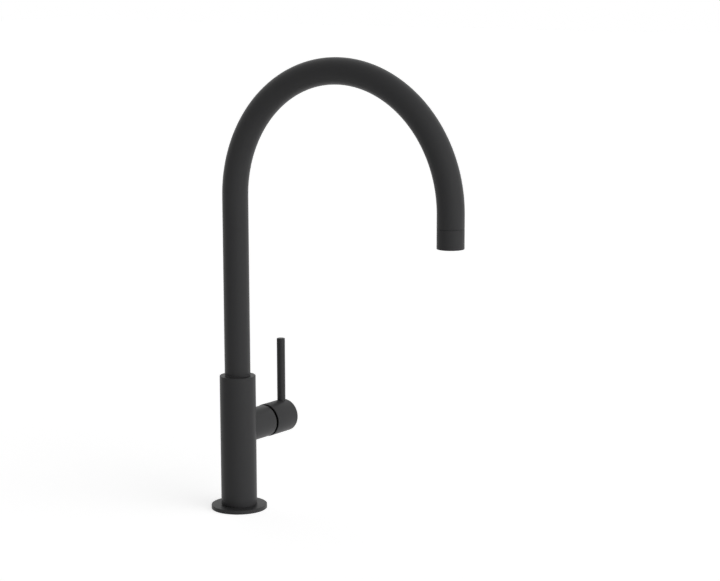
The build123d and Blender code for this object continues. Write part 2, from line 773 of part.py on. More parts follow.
pieces = {
    "base_flange": base_flange,
    "deck_gasket": deck_gasket,
    "body": body,
    "upper_slide_ring": upper_slide_ring,
    "lower_slide_ring": lower_slide_ring,
    "spout_tube": spout_tube,
    "spout_nipple": spout_nipple,
    "spout_seals": spout_seals,
    "spout_lock_screw": spout_lock_screw,
    "outlet_insert": outlet_insert,
    "aerator_housing": aerator_housing,
    "aerator_gasket": aerator_gasket,
    "aerator_core": aerator_core,
    "aerator_screen": aerator_screen,
    "cartridge_base": cartridge_base,
    "port_seals": port_seals,
    "disc_seal": disc_seal,
    "fixed_disc": fixed_disc,
    "moving_disc": moving_disc,
    "disc_carrier": disc_carrier,
    "cartridge_body": cartridge_body,
    "stem_guide": stem_guide,
    "pivot_pin": pivot_pin,
    "stem": stem,
    "cartridge_nut": cartridge_nut,
    "dome_ring": dome_ring,
    "handle_cap": handle_cap,
    "lever_pin": lever_pin,
    "handle_screw": handle_screw,
    "fixing_stud": fixing_stud,
    "clamp_gasket": clamp_gasket,
    "clamp_plate": clamp_plate,
    "fixing_nut": fixing_nut,
}
os.makedirs("parts", exist_ok=True)
for name, piece in pieces.items():
    piece.part.label = name
    export_step(piece.part, f"parts/{name}.step")
    print(name, len(piece.part.solids()), round(piece.part.volume, 1))
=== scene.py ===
import json
import math

import bmesh
import bpy
from mathutils import Matrix, Vector


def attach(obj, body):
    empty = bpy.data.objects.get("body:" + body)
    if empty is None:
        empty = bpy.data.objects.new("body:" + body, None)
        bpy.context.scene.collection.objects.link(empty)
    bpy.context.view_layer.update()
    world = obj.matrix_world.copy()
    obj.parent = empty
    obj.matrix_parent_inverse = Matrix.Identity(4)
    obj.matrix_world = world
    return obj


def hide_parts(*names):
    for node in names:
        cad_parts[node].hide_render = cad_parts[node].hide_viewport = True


print("loading the packed tap")
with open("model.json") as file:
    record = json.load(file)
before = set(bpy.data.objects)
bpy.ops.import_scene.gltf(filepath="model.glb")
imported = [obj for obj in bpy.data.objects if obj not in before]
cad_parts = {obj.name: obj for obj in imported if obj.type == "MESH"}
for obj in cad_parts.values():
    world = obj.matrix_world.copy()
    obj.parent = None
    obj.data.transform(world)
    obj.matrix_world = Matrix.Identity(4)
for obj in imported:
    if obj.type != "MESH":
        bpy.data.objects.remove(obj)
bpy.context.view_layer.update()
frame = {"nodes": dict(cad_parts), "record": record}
nodes = frame["nodes"]
mm = 0.001  # pieces are built in millimetres and scaled once, at the end
samePlace = 1e-6  # values closer than this are one
weldGap = 1e-5  # points closer than this are merged
past = 1.0  # how far a cutting shape reaches past what it cuts


def addNode(tree, kind, links=None, values=None, **settings):
    # one node; links and values go to its inputs by name or number
    node = tree.nodes.new(kind)
    for key, value in settings.items():
        setattr(node, key, value)
    for key, value in (values or {}).items():
        node.inputs[key].default_value = value
    for key, source in (links or {}).items():
        tree.links.new(source, node.inputs[key])
    return node


def calc(tree, operation, *terms):
    # a Math node; each term is a number or another node's output
    node = tree.nodes.new("ShaderNodeMath")
    node.operation = operation
    for socket, term in zip(node.inputs, terms):
        if isinstance(term, (int, float)):
            socket.default_value = term
        else:
            tree.links.new(term, socket)
    return node.outputs[0]


def mixColours(tree, share, first, second):
    # blends two plain colours by a share from 0 to 1
    ends = {6: (*first, 1), 7: (*second, 1)}
    return addNode(tree, "ShaderNodeMix", {0: share}, ends, data_type="RGBA").outputs[2]


def newGroup(name, kind, inputs, outputs):
    # a node group with named inputs (label, type, value) and outputs (label, type)
    group = bpy.data.node_groups.new(name, kind)
    for label, socketType, value in inputs:
        socket = group.interface.new_socket(label, in_out="INPUT", socket_type=socketType)
        if value is not None:
            socket.default_value = value
    for label, socketType in outputs:
        group.interface.new_socket(label, in_out="OUTPUT", socket_type=socketType)
    start = group.nodes.new("NodeGroupInput")
    end = group.nodes.new("NodeGroupOutput")
    return group, start.outputs, end.inputs


print("mixing the finishes")
patternOutputs = [("Tone", "NodeSocketFloat"), ("Height", "NodeSocketFloat")]


def makeFineGrain():
    # fine grain with wide, faint clouds: for coat, rubber, plastic and ceramic
    group, given, made = newGroup(
        "fineGrain",
        "ShaderNodeTree",
        [
            ("Vector", "NodeSocketVector", None),
            ("Grain Scale", "NodeSocketFloat", 3000.0),
            ("Cloud Scale", "NodeSocketFloat", 60.0),
            ("Cloud Share", "NodeSocketFloat", 0.4),
        ],
        patternOutputs,
    )
    grain = addNode(
        group,
        "ShaderNodeTexNoise",
        {"Vector": given["Vector"], "Scale": given["Grain Scale"]},
        {"Detail": 2.0, "Roughness": 0.55},
    )
    cloud = addNode(
        group,
        "ShaderNodeTexNoise",
        {"Vector": given["Vector"], "Scale": given["Cloud Scale"]},
        {"Detail": 3.0, "Roughness": 0.5},
    )
    tone = addNode(
        group,
        "ShaderNodeMix",
        {0: given["Cloud Share"], 2: grain.outputs["Fac"], 3: cloud.outputs["Fac"]},
    )
    group.links.new(tone.outputs[0], made["Tone"])
    group.links.new(grain.outputs["Fac"], made["Height"])
    return group


def makeToolMarks():
    # marks left by a tool: noise drawn out along one direction of the vector it is given
    group, given, made = newGroup(
        "toolMarks",
        "ShaderNodeTree",
        [
            ("Vector", "NodeSocketVector", None),
            ("Across", "NodeSocketVector", (1.0, 1.0, 1.0)),
            ("Cloud Scale", "NodeSocketFloat", 80.0),
            ("Cloud Share", "NodeSocketFloat", 0.4),
        ],
        patternOutputs,
    )
    drawn = addNode(
        group,
        "ShaderNodeVectorMath",
        {0: given["Vector"], 1: given["Across"]},
        operation="MULTIPLY",
    )
    marks = addNode(
        group,
        "ShaderNodeTexNoise",
        {"Vector": drawn.outputs[0]},
        {"Scale": 1.0, "Detail": 3.0, "Roughness": 0.6},
    )
    cloud = addNode(
        group,
        "ShaderNodeTexNoise",
        {"Vector": given["Vector"], "Scale": given["Cloud Scale"]},
        {"Detail": 2.0},
    )
    tone = addNode(
        group,
        "ShaderNodeMix",
        {0: given["Cloud Share"], 2: marks.outputs["Fac"], 3: cloud.outputs["Fac"]},
    )
    group.links.new(tone.outputs[0], made["Tone"])
    group.links.new(marks.outputs["Fac"], made["Height"])
    return group


fineGrain = makeFineGrain()
toolMarks = makeToolMarks()


def mixFinish(name, look, group, groupValues, vector):
    # a Principled material whose colour, roughness and relief follow the group's pattern
    material = bpy.data.materials.new(name)
    material.use_nodes = True
    tree = material.node_tree
    shader = tree.nodes["Principled BSDF"]
    place = addNode(tree, "ShaderNodeTexCoord")
    pattern = addNode(tree, "ShaderNodeGroup", node_tree=group)
    tree.links.new(place.outputs[vector], pattern.inputs["Vector"])
    for key, value in groupValues.items():
        pattern.inputs[key].default_value = value
    dark, pale = ([part * tone for part in look["colour"]] for tone in look["tones"])
    colour = mixColours(tree, pattern.outputs["Tone"], dark, pale)
    tree.links.new(colour, shader.inputs["Base Color"])
    smooth, rough = look["roughness"]
    gloss = addNode(
        tree,
        "ShaderNodeMapRange",
        {"Value": pattern.outputs["Tone"]},
        {"To Min": smooth, "To Max": rough},
    )
    tree.links.new(gloss.outputs["Result"], shader.inputs["Roughness"])
    relief = addNode(
        tree,
        "ShaderNodeBump",
        {"Height": pattern.outputs["Height"]},
        {"Strength": look["bump"], "Distance": look["relief"]},
    )
    tree.links.new(relief.outputs["Normal"], shader.inputs["Normal"])
    shader.inputs["Metallic"].default_value = look.get("metallic", 0.0)
    shader.inputs["IOR"].default_value = look.get("ior", 1.5)
    return material


coatLook = {  # satin black powder coat
    "colour": (0.031, 0.031, 0.032),
    "tones": (0.86, 1.14),
    "roughness": (0.37, 0.50),
    "bump": 0.35,
    "relief": 0.00002,
    "ior": 1.27,
}
rubberLook = {  # gaskets and sealing rings
    "colour": (0.018, 0.018, 0.019),
    "tones": (0.8, 1.25),
    "roughness": (0.62, 0.8),
    "bump": 0.4,
    "relief": 0.00003,
}
# black plastic, made darker than the coat: the extra darkness is painted shade in the seam ring under the
# spout and in the ring in the handle's groove
blackPlasticAndShadeLook = {  # slide rings, the ring in the groove and the aerator's core
    "colour": (0.010, 0.010, 0.011),
    "tones": (0.85, 1.15),
    "roughness": (0.4, 0.55),
    "bump": 0.2,
    "relief": 0.00002,
}
palePlasticLook = {  # cartridge mouldings
    "colour": (0.78, 0.78, 0.74),
    "tones": (0.95, 1.04),
    "roughness": (0.34, 0.46),
    "bump": 0.15,
    "relief": 0.00002,
}
ceramicLook = {  # the valve's two discs
    "colour": (0.86, 0.85, 0.81),
    "tones": (0.96, 1.03),
    "roughness": (0.16, 0.26),
    "bump": 0.06,
    "relief": 0.00001,
}
brassLook = {
    "colour": (0.74, 0.54, 0.26),
    "tones": (0.88, 1.08),
    "roughness": (0.22, 0.36),
    "bump": 0.25,
    "relief": 0.00001,
    "metallic": 1.0,
}
steelLook = {
    "colour": (0.60, 0.59, 0.57),
    "tones": (0.9, 1.08),
    "roughness": (0.24, 0.38),
    "bump": 0.2,
    "relief": 0.00001,
    "metallic": 1.0,
}
alongTurning = {"Across": (3.0, 9.0, 0.0), "Cloud Scale": 0.15}  # rings follow the turned outline
alongBar = {"Across": (250.0, 4000.0, 4000.0), "Cloud Scale": 90.0}  # marks run along X
finishes = {}
for name, look, group, groupValues, vector in (
    ("blackCoat", coatLook, fineGrain, {"Grain Scale": 2600.0}, "Object"),
    ("blackRubber", rubberLook, fineGrain, {"Grain Scale": 1800.0}, "Object"),
    ("blackPlasticAndShade", blackPlasticAndShadeLook, fineGrain, {"Grain Scale": 3500.0}, "Object"),
    ("palePlastic", palePlasticLook, fineGrain, {"Grain Scale": 2500.0}, "Object"),
    ("whiteCeramic", ceramicLook, fineGrain, {"Grain Scale": 6000.0}, "Object"),
    ("turnedBrass", brassLook, toolMarks, alongTurning, "UV"),
    ("milledBrass", brassLook, toolMarks, alongBar, "Object"),
    ("turnedSteel", steelLook, toolMarks, alongTurning, "UV"),
    ("rolledSteel", steelLook, toolMarks, alongBar, "Object"),
):
    finishes[name] = mixFinish(name, look, group, groupValues, vector)
slotFinish = {  # for the CAD nodes that stay
    "black_coat": "blackCoat",
    "black_rubber": "blackRubber",
    "dark_plastic": "blackPlasticAndShade",
    "pale_plastic": "palePlastic",
    "white_ceramic": "whiteCeramic",
    "turned_brass": "milledBrass",
    "stainless": "rolledSteel",
}
for part in frame["record"]["subparts"]:
    kept = nodes[part["node"]]
    kept.data.materials.clear()
    kept.data.materials.append(finishes[slotFinish[part["material_slot"]]])


def newPiece(name, mesh):
    piece = bpy.data.objects.new(name, mesh)
    bpy.context.scene.collection.objects.link(piece)
    return piece


def plainMesh(piece):
    # the evaluated shape becomes the piece's own mesh, and no modifier stays on it
    bpy.context.view_layer.update()
    graph = bpy.context.evaluated_depsgraph_get()
    made = bpy.data.meshes.new_from_object(
        piece.evaluated_get(graph),
        preserve_all_data_layers=True,
        depsgraph=graph,
    )
    piece.modifiers.clear()
    old = piece.data
    piece.data = made
    bpy.data.meshes.remove(old)
    return piece


def runNodes(piece, group, sizes):
    # runs a node tree on the piece, with its sizes given by socket name
    modifier = piece.modifiers.new(group.name, "NODES")
    modifier.node_group = group
    for item in group.interface.items_tree:
        if item.item_type == "SOCKET" and item.in_out == "INPUT" and item.name in sizes:
            modifier[item.identifier] = sizes[item.name]
    return plainMesh(piece)


def combine(piece, other, operation):
    # Boolean with another piece, which is used up
    modifier = piece.modifiers.new("combine", "BOOLEAN")
    modifier.operation = operation
    modifier.solver = "EXACT"
    modifier.object = other
    plainMesh(piece)
    bpy.data.objects.remove(other)
    return piece


def moved(piece, matrix):
    # places the mesh, so that the object stays at the origin
    piece.data.transform(matrix)
    return piece


def finishPiece(piece, finish, body, slot, *stoodFor, crease=20):
    # millimetres to metres, finish, smooth shading, body and the CAD nodes it stands for
    piece.data.transform(Matrix.Scale(mm, 4))
    piece.data.materials.clear()
    piece.data.materials.append(finishes[finish])
    piece.data.shade_smooth()
    piece.data.set_sharp_from_angle(angle=math.radians(crease))
    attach(piece, body)
    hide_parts(*stoodFor)


def softOutline(corners, steps=6):
    # corners are (radius, height, rounding) in a closed loop; each rounding becomes an arc
    loop = []
    for i, (r, z, rounding) in enumerate(corners):
        here = Vector((r, z))
        if rounding == 0:
            loop.append(here)
            continue
        before = (Vector(corners[i - 1][:2]) - here).normalized()
        after = (Vector(corners[(i + 1) % len(corners)][:2]) - here).normalized()
        half = before.angle(after) / 2
        centre = here + (before + after).normalized() * (rounding / math.sin(half))
        first = here + before * (rounding / math.tan(half)) - centre
        last = here + after * (rounding / math.tan(half)) - centre
        start = math.atan2(first.y, first.x)
        sweep = (math.atan2(last.y, last.x) - start + math.pi) % (2 * math.pi) - math.pi
        for k in range(steps + 1):
            angle = start + sweep * k / steps
            loop.append(centre + rounding * Vector((math.cos(angle), math.sin(angle))))
    return loop


threadForm = {  # the same for every thread
    "rowsPerTurn": 8,  # rows of points in the wall for each pitch
    "crestEnd": 0.14,  # where the flank starts, as a share of half a pitch
    "rootStart": 0.82,  # where it has gone down to the full depth
    "wallReach": 0.002,  # how near a point has to be to the wall's radius
}


def divideWall(outline, thread):
    # puts rows in the upright wall that a thread will be cut into
    spacing = thread["pitch"] / threadForm["rowsPerTurn"]
    loop = []
    for here, there in zip(outline, outline[1:] + outline[:1]):
        loop.append(here)
        if abs(here.x - there.x) < samePlace and abs(here.x - thread["radius"]) < samePlace:
            rows = max(1, round(abs(there.y - here.y) / spacing))
            loop += [here.lerp(there, k / rows) for k in range(1, rows)]
    return loop


def turned(name, corners, slices=96, thread=None):
    # a solid of revolution round Z; its UVs run round it and along its outline
    loop = softOutline(corners)
    if thread:
        loop = divideWall(loop, thread)
    run = [0.0]
    for here, there in zip(loop, loop[1:] + loop[:1]):
        run.append(run[-1] + (there - here).length)
    bm = bmesh.new()
    marks = bm.loops.layers.uv.new("turning")
    rings = []
    for s in range(slices):
        angle = 2 * math.pi * s / slices
        rings.append([bm.verts.new((p.x * math.cos(angle), p.x * math.sin(angle), p.y)) for p in loop])
    for s in range(slices):
        for k in range(len(loop)):
            n = (k + 1) % len(loop)
            if loop[k].x < samePlace and loop[n].x < samePlace:
                continue
            here, there = rings[s], rings[(s + 1) % slices]
            face = bm.faces.new((here[k], there[k], there[n], here[n]))
            places = ((s, k), (s + 1, k), (s + 1, k + 1), (s, k + 1))
            for corner, (around, along) in zip(face.loops, places):
                corner[marks].uv = (around / slices, run[along])
    bmesh.ops.remove_doubles(bm, verts=bm.verts, dist=weldGap)
    bmesh.ops.recalc_face_normals(bm, faces=bm.faces)
    mesh = bpy.data.meshes.new(name)
    bm.to_mesh(mesh)
    bm.free()
    return newPiece(name, mesh)


def barOutline(look):
    # a round bar, both its ends softened by its edge
    radius, foot, top, edge = (look[key] for key in ("radius", "foot", "top", "edge"))
    return [(0, foot, 0), (radius, foot, edge), (radius, top, edge), (0, top, 0)]


def ringOutline(look):
    # a ring of square section, its four corners softened by its edge
    inner, outer, foot, top, edge = (look[key] for key in ("inner", "outer", "foot", "top", "edge"))
    return [(inner, foot, edge), (outer, foot, edge), (outer, top, edge), (inner, top, edge)]


def rod(name, radius, start, end, slices):
    return turned(name, barOutline({"radius": radius, "foot": start, "top": end, "edge": 0}), slices)


def prism(name, flats, start, end):
    # a hexagonal bar, given by the distance across its flats
    return rod(name, flats / math.sqrt(3), start, end, slices=6)


def newTree(name, sizes):
    # a geometry tree whose inputs are a shape, its sizes (label, type, value) and a material
    inputs = [("Geometry", "NodeSocketGeometry", None), *sizes, ("Material", "NodeSocketMaterial", None)]
    return newGroup(name, "GeometryNodeTree", inputs, [("Geometry", "NodeSocketGeometry")])


def endTree(group, geometry, given, made):
    # real geometry with its material set, handed to the tree's output
    real = addNode(group, "GeometryNodeRealizeInstances", {"Geometry": geometry})
    paint = addNode(
        group,
        "GeometryNodeSetMaterial",
        {"Geometry": real.outputs[0], "Material": given["Material"]},
    )
    group.links.new(paint.outputs[0], made["Geometry"])


def axisDistance(tree, x, y):
    # how far a point lies from the Z axis
    squares = [calc(tree, "MULTIPLY", part, part) for part in (x, y)]
    return calc(tree, "SQRT", calc(tree, "ADD", *squares))


def makeScrewThread():
    # cuts a helical groove into the wall that lies at Major Radius between Start and End
    group, given, made = newTree(
        "screwThread",
        [
            ("Major Radius", "NodeSocketFloat", 4.0),
            ("Depth", "NodeSocketFloat", 0.7),
            ("Pitch", "NodeSocketFloat", 1.25),
            ("Start", "NodeSocketFloat", 0.0),
            ("End", "NodeSocketFloat", 10.0),
        ],
    )
    place = addNode(group, "GeometryNodeInputPosition")
    parts = addNode(group, "ShaderNodeSeparateXYZ", {0: place.outputs[0]})
    x, y, z = parts.outputs
    radius = axisDistance(group, x, y)
    turnShare = calc(group, "DIVIDE", calc(group, "ARCTAN2", y, x), 2 * math.pi)
    turns = calc(group, "DIVIDE", z, given["Pitch"])
    phase = calc(group, "FRACT", calc(group, "SUBTRACT", turns, turnShare))
    wave = calc(group, "ABSOLUTE", calc(group, "SUBTRACT", calc(group, "MULTIPLY", phase, 2.0), 1.0))
    flank = addNode(
        group,
        "ShaderNodeMapRange",
        {"Value": wave},
        {"From Min": threadForm["crestEnd"], "From Max": threadForm["rootStart"]},
    )
    onWall = calc(group, "COMPARE", radius, given["Major Radius"], threadForm["wallReach"])
    cut = calc(group, "MULTIPLY", flank.outputs[0], given["Depth"])
    cut = calc(group, "MULTIPLY", cut, onWall)
    for low, high in ((given["Start"], z), (z, given["End"])):  # the groove fades out over a turn at each end
        within = calc(group, "SUBTRACT", high, low)
        fade = addNode(group, "ShaderNodeMapRange", {"Value": within, "From Max": given["Pitch"]})
        cut = calc(group, "MULTIPLY", cut, fade.outputs[0])
    divisor = calc(group, "MAXIMUM", radius, 0.001)  # stays above zero on the axis
    scale = calc(group, "DIVIDE", calc(group, "SUBTRACT", radius, cut), divisor)
    target = addNode(
        group,
        "ShaderNodeCombineXYZ",
        {"X": calc(group, "MULTIPLY", x, scale), "Y": calc(group, "MULTIPLY", y, scale), "Z": z},
    )
    shift = addNode(
        group,
        "GeometryNodeSetPosition",
        {"Geometry": given["Geometry"], "Position": target.outputs[0]},
    )
    endTree(group, shift.outputs[0], given, made)
    return group


screwThread = makeScrewThread()


def threaded(piece, thread, start, end):
    # thread is a dictionary that holds at least the thread's radius, depth and pitch
    sizes = {
        "Major Radius": thread["radius"],
        "Depth": thread["depth"],
        "Pitch": thread["pitch"],
        "Start": start,
        "End": end,
    }
    runNodes(piece, screwThread, sizes)


valveHeight = 79.4  # of the line that cartridge and handle turn on
outletY = -245.9
studX = -10.0
gripX = 55.0  # of the screw that holds the handle on its stem
valveLine = Matrix(((0, 0, 1, 0), (1, 0, 0, 0), (0, 1, 0, valveHeight), (0, 0, 0, 1)))  # local Z along +X
toOutlet = Matrix.Translation((0, outletY, 0))
toStud = Matrix.Translation((studX, 0, 0))
toGrip = Matrix.Translation((gripX, 0, 0))

print("turning the base")
flange = {
    "radius": 27.25,
    "thickness": 3.8,
    "topEdge": 0.5,
    "bottomEdge": 0.15,
    "collarRadius": 16.6,
    "collarTop": 4.8,
    "bore": 15.55,
    "grooveInner": 18.95,
    "grooveOuter": 23.05,
    "grooveDepth": 1.8,
}
baseFlange = turned(
    "baseFlange",
    [
        (flange["bore"], 0, 0),
        (flange["grooveInner"], 0, 0),
        (flange["grooveInner"], flange["grooveDepth"], 0),
        (flange["grooveOuter"], flange["grooveDepth"], 0),
        (flange["grooveOuter"], 0, 0),
        (flange["radius"], 0, flange["bottomEdge"]),
        (flange["radius"], flange["thickness"], flange["topEdge"]),
        (flange["collarRadius"], flange["thickness"], 0),
        (flange["collarRadius"], flange["collarTop"], 0),
        (flange["bore"], flange["collarTop"], 0),
    ],
    slices=160,
)
finishPiece(baseFlange, "blackCoat", "tap_body", "black_coat", "base_flange")

print("making the column and its valve housing")
column = {
    "radius": 17.5,
    "foot": 4.8,
    "top": 132.6,
    "topEdge": 0.4,
    "footEdge": 0.15,
    "spigotRadius": 15.5,
    "spigotFoot": 0.5,
    "spigotEdge": 0.3,
    "socketRadius": 10.6,
    "socketFloor": 100.0,
    "mouthRadius": 11.95,
    "mouthFoot": 126.6,
    "mouthEdge": 0.1,
    "housingRadius": 15.7,
    "housingEnd": 41.0,
    "housingEdge": 0.4,
    "seat": 9.0,
    "chamberRadius": 12.6,
    "nutStart": 29.55,
    "nutRadius": 14.05,
}
tapColumn = turned(
    "tapColumn",
    [
        (0, column["spigotFoot"], 0),
        (column["spigotRadius"], column["spigotFoot"], column["spigotEdge"]),
        (column["spigotRadius"], column["foot"], 0),
        (column["radius"], column["foot"], column["footEdge"]),
        (column["radius"], column["top"], column["topEdge"]),
        (column["mouthRadius"], column["top"], column["mouthEdge"]),
        (column["mouthRadius"], column["mouthFoot"], 0),
        (column["socketRadius"], column["mouthFoot"], 0),
        (column["socketRadius"], column["socketFloor"], 0),
        (0, column["socketFloor"], 0),
    ],
    slices=160,
)
housing = turned(
    "housing",
    [
        (0, 0, 0),
        (column["housingRadius"], 0, 0),
        (column["housingRadius"], column["housingEnd"], column["housingEdge"]),
        (0, column["housingEnd"], 0),
    ],
    slices=144,
)
combine(tapColumn, moved(housing, valveLine), "UNION")
chamber = turned(
    "chamber",
    [
        (0, column["seat"], 0),
        (column["chamberRadius"], column["seat"], 0),
        (column["chamberRadius"], column["nutStart"], 0),
        (column["nutRadius"], column["nutStart"], 0),
        (column["nutRadius"], column["housingEnd"] + past, 0),
        (0, column["housingEnd"] + past, 0),
    ],
    slices=128,
)
combine(tapColumn, moved(chamber, valveLine), "DIFFERENCE")
ducts = {  # bored upwards: radius, start and end, then x and y
    "coldInlet": (4.45, 0, 11.5, 3.5, 6.8),
    "hotInlet": (4.45, 0, 11.5, 3.5, -6.8),
    "coldRiser": (2.2, 11, 84.5, 3.5, 5.6),
    "hotRiser": (2.2, 11, 84.5, 3.5, -5.6),
    "studHole": (4.05, 0, 12.5, studX, 0),
    "mixedRiser": (2.8, 78.4, 100.5, -4.0, 0),
}
for name, (radius, start, end, x, y) in ducts.items():
    duct = rod(name, radius, start, end, slices=40)
    combine(tapColumn, moved(duct, Matrix.Translation((x, y, 0))), "DIFFERENCE")
ports = {  # bored along the valve's line: radius, start and end, then y and z from that line
    "coldPort": (1.7, 3.5, 9.5, 4.0, 5.12),
    "hotPort": (1.7, 3.5, 9.5, -4.0, 5.12),
    "mixedPort": (2.4, -4.0, 9.5, 0, -1.0),
}
for name, (radius, start, end, y, z) in ports.items():
    port = moved(rod(name, radius, start, end, slices=32), Matrix.Translation((y, z, 0)))
    combine(tapColumn, moved(port, valveLine), "DIFFERENCE")
lock = {"height": 120.0, "holeRadius": 2.55, "holeStart": 5, "holeEnd": 20}
lockLine = Matrix(((1, 0, 0, 0), (0, 0, 1, 0), (0, -1, 0, lock["height"]), (0, 0, 0, 1)))  # local Z along +Y
lockHole = rod("lockHole", lock["holeRadius"], lock["holeStart"], lock["holeEnd"], slices=40)
combine(tapColumn, moved(lockHole, lockLine), "DIFFERENCE")
finishPiece(tapColumn, "blackCoat", "tap_body", "black_coat", "body")

print("bending the spout")


def makeBentTube():
    # riser, half circle and tail as one path, with a round profile along it
    group, given, made = newTree(
        "bentTube",
        [
            ("Foot", "NodeSocketFloat", 0.0),
            ("Bend Height", "NodeSocketFloat", 0.0),
            ("Bend Radius", "NodeSocketFloat", 1.0),
            ("Tail End", "NodeSocketFloat", 0.0),
            ("Tube Radius", "NodeSocketFloat", 1.0),
            ("Bend Steps", "NodeSocketInt", 128),
            ("Slices", "NodeSocketInt", 96),
        ],
    )

    def point(parts):
        return addNode(group, "ShaderNodeCombineXYZ", parts).outputs[0]

    back = calc(group, "MULTIPLY", given["Bend Radius"], -1.0)
    far = calc(group, "MULTIPLY", given["Bend Radius"], -2.0)
    top = calc(group, "ADD", given["Bend Height"], given["Bend Radius"])
    bendStart = point({"Z": given["Bend Height"]})
    bendEnd = point({"Y": far, "Z": given["Bend Height"]})
    riser = addNode(
        group,
        "GeometryNodeCurvePrimitiveLine",
        {"Start": point({"Z": given["Foot"]}), "End": bendStart},
    )
    bend = addNode(
        group,
        "GeometryNodeCurveArc",
        {
            "Start": bendStart,
            "Middle": point({"Y": back, "Z": top}),
            "End": bendEnd,
            "Resolution": given["Bend Steps"],
        },
        mode="POINTS",
    )
    tail = addNode(
        group,
        "GeometryNodeCurvePrimitiveLine",
        {"Start": bendEnd, "End": point({"Y": far, "Z": given["Tail End"]})},
    )
    joined = addNode(group, "GeometryNodeJoinGeometry")
    for run in (tail, bend, riser):
        group.links.new(run.outputs[0], joined.inputs[0])
    wire = addNode(group, "GeometryNodeCurveToMesh", {"Curve": joined.outputs[0]})
    single = addNode(  # the three runs become one where they meet
        group,
        "GeometryNodeMergeByDistance",
        {"Geometry": wire.outputs[0]},
        {"Distance": 0.01},
    )
    path = addNode(group, "GeometryNodeMeshToCurve", {"Mesh": single.outputs[0]})
    ring = addNode(
        group,
        "GeometryNodeCurvePrimitiveCircle",
        {"Resolution": given["Slices"], "Radius": given["Tube Radius"]},
    )
    skin = addNode(
        group,
        "GeometryNodeCurveToMesh",
        {"Curve": path.outputs[0], "Profile Curve": ring.outputs[0]},
    )
    endTree(group, skin.outputs[0], given, made)
    return group


spout = {
    "Foot": 133.8,
    "Bend Height": 307.76,
    "Bend Radius": 122.95,
    "Tail End": 295.4,
    "Tube Radius": 12.5,
    "Bend Steps": 144,
    "Slices": 96,
}
tubeWall = {"thickness": 1.5, "edge": 0.25, "edgeSteps": 3, "sharperThan": 60}
spoutTube = runNodes(newPiece("spoutTube", bpy.data.meshes.new("spoutTube")), makeBentTube(), spout)
wall = spoutTube.modifiers.new("wall", "SOLIDIFY")
wall.thickness = tubeWall["thickness"]
wall.offset = -1
rim = spoutTube.modifiers.new("rim", "BEVEL")
rim.width = tubeWall["edge"]
rim.segments = tubeWall["edgeSteps"]
rim.limit_method = "ANGLE"
rim.angle_limit = math.radians(tubeWall["sharperThan"])
plainMesh(spoutTube)
finishPiece(spoutTube, "blackCoat", "spout", "black_coat", "spout_tube")

print("turning the spout's swivel")
slideRing = {
    "sleeveRadius": 11.9,
    "sleeveFoot": 126.6,
    "sleeveEdge": 0.2,
    "flangeRadius": 12.4,
    "flangeFoot": 132.6,
    "flangeTop": 133.8,
    "flangeEdge": 0.12,
    "bore": 10.45,
    "boreEdge": 0.1,
}
upperRing = turned(
    "upperSlideRing",
    [
        (slideRing["bore"], slideRing["sleeveFoot"], slideRing["boreEdge"]),
        (slideRing["sleeveRadius"], slideRing["sleeveFoot"], slideRing["sleeveEdge"]),
        (slideRing["sleeveRadius"], slideRing["flangeFoot"], 0),
        (slideRing["flangeRadius"], slideRing["flangeFoot"], slideRing["flangeEdge"]),
        (slideRing["flangeRadius"], slideRing["flangeTop"], slideRing["flangeEdge"]),
        (slideRing["bore"], slideRing["flangeTop"], slideRing["boreEdge"]),
    ],
    slices=128,
)
# the ring's flange is the band under the spout; its near-black colour is painted shade for that seam
finishPiece(upperRing, "blackPlasticAndShade", "tap_body", "dark_plastic", "upper_slide_ring")
footRing = {"bore": 9.25, "boreEdge": 0.1, "radius": 10.55, "foot": 100.0, "top": 104.5, "edge": 0.25}
lowerRing = turned(
    "lowerSlideRing",
    [
        (footRing["bore"], footRing["foot"], footRing["boreEdge"]),
        (footRing["radius"], footRing["foot"], footRing["edge"]),
        (footRing["radius"], footRing["top"], footRing["edge"]),
        (footRing["bore"], footRing["top"], footRing["edge"]),
    ],
)
finishPiece(lowerRing, "blackPlasticAndShade", "tap_body", "dark_plastic", "lower_slide_ring")
nipple = {
    "bore": 7.5,
    "foot": 100.5,
    "stepRadius": 9.2,
    "stepTop": 105.0,
    "stepEdge": 0.1,
    "radius": 10.4,
    "top": 133.8,
    "plugRadius": 10.95,
    "plugTop": 146.8,
    "plugEdge": 0.5,
    "grooves": ((107.0, 109.8, 8.6), (111.8, 114.6, 8.6), (117.8, 122.2, 8.9)),  # two seals, then the lock
    "grooveMouth": 0.12,
    "grooveFloor": 0.15,
    "edge": 0.25,
}
outline = [
    (nipple["bore"], nipple["foot"], nipple["edge"]),
    (nipple["stepRadius"], nipple["foot"], nipple["edge"]),
    (nipple["stepRadius"], nipple["stepTop"], nipple["stepEdge"]),
    (nipple["radius"], nipple["stepTop"], nipple["edge"]),
]
for foot, top, floorRadius in nipple["grooves"]:
    outline += [
        (nipple["radius"], foot, nipple["grooveMouth"]),
        (floorRadius, foot, nipple["grooveFloor"]),
        (floorRadius, top, nipple["grooveFloor"]),
        (nipple["radius"], top, nipple["grooveMouth"]),
    ]
outline += [
    (nipple["radius"], nipple["top"], 0),
    (nipple["plugRadius"], nipple["top"], 0),
    (nipple["plugRadius"], nipple["plugTop"], nipple["plugEdge"]),
    (nipple["bore"], nipple["plugTop"], nipple["edge"]),
]
spoutNipple = turned("spoutNipple", outline, slices=112)
finishPiece(spoutNipple, "turnedBrass", "spout", "turned_brass", "spout_nipple")
sealRing = {"inner": 8.64, "outer": 10.56, "height": 2.6, "edge": 0.8, "centres": (108.4, 113.2)}
bm = bmesh.new()
for centre in sealRing["centres"]:
    ends = {"foot": centre - sealRing["height"] / 2, "top": centre + sealRing["height"] / 2}
    ring = turned("seal", ringOutline({**sealRing, **ends}))
    bm.from_mesh(ring.data)
    bpy.data.objects.remove(ring)
sealMesh = bpy.data.meshes.new("spoutSeals")
bm.to_mesh(sealMesh)
bm.free()
spoutSeals = newPiece("spoutSeals", sealMesh)
